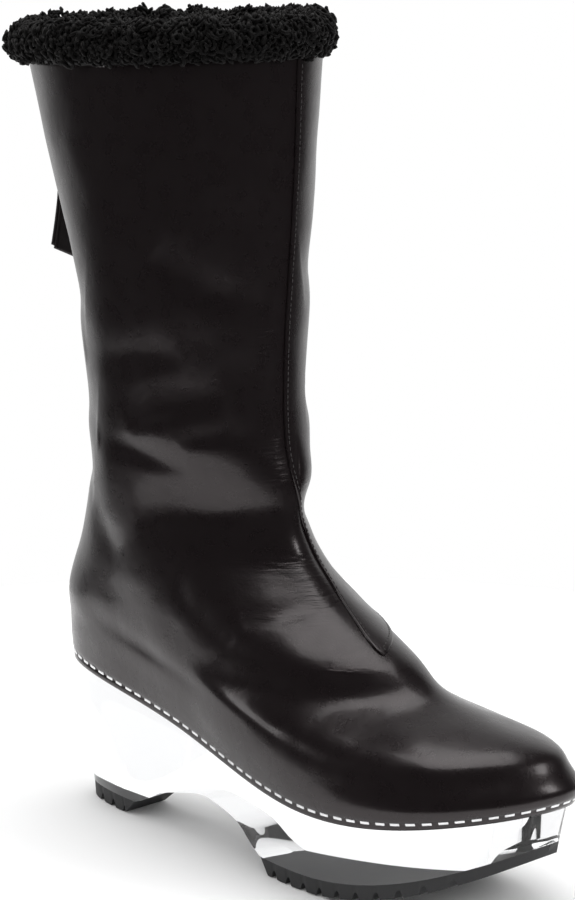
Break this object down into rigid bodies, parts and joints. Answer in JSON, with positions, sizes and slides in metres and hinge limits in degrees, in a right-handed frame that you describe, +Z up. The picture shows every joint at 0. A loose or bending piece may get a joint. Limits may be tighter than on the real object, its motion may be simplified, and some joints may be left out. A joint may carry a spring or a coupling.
{
  "type": "platform boot",
  "caption": "Mid-calf leather boot with a curly fleece cuff, a back zip with a hanging pull, and a clear wedge platform sole on lugged rubber treads.",
  "frame": {"origin": "on the floor, under the middle of the heel tread", "axes": "+Z up, +X towards the toe, +Y towards the inner (medial) side of the leg"},
  "size_m": [0.291, 0.119, 0.3525],
  "materials": {
    "leather": "smooth, semi-gloss",
    "fleece": "curly sheepskin",
    "insole": "brushed lining",
    "clear_sole": "polished clear resin",
    "tread_rubber": "matt",
    "zip_tape": "woven, with moulded teeth",
    "zip_metal": "satin"
  },
  "bodies": {
    "boot": {"upper": "leather", "fleece_cuff": "fleece", "insole": "insole", "platform": "clear_sole", "heel_tread": "tread_rubber", "forefoot_tread": "tread_rubber", "zip_chain": "zip_tape", "zip_slider": "zip_metal"},
    "pull": {"zip_pull": "zip_metal", "pull_strip": "leather"}
  },
  "joints": [
    {"name": "pull_hinge", "type": "hinge", "parent": "boot", "child": "pull", "pos_m": [-0.03462, 0, 0.29145], "axis": [0, 1, 0], "range_deg": [-12, 150]}
  ]
}
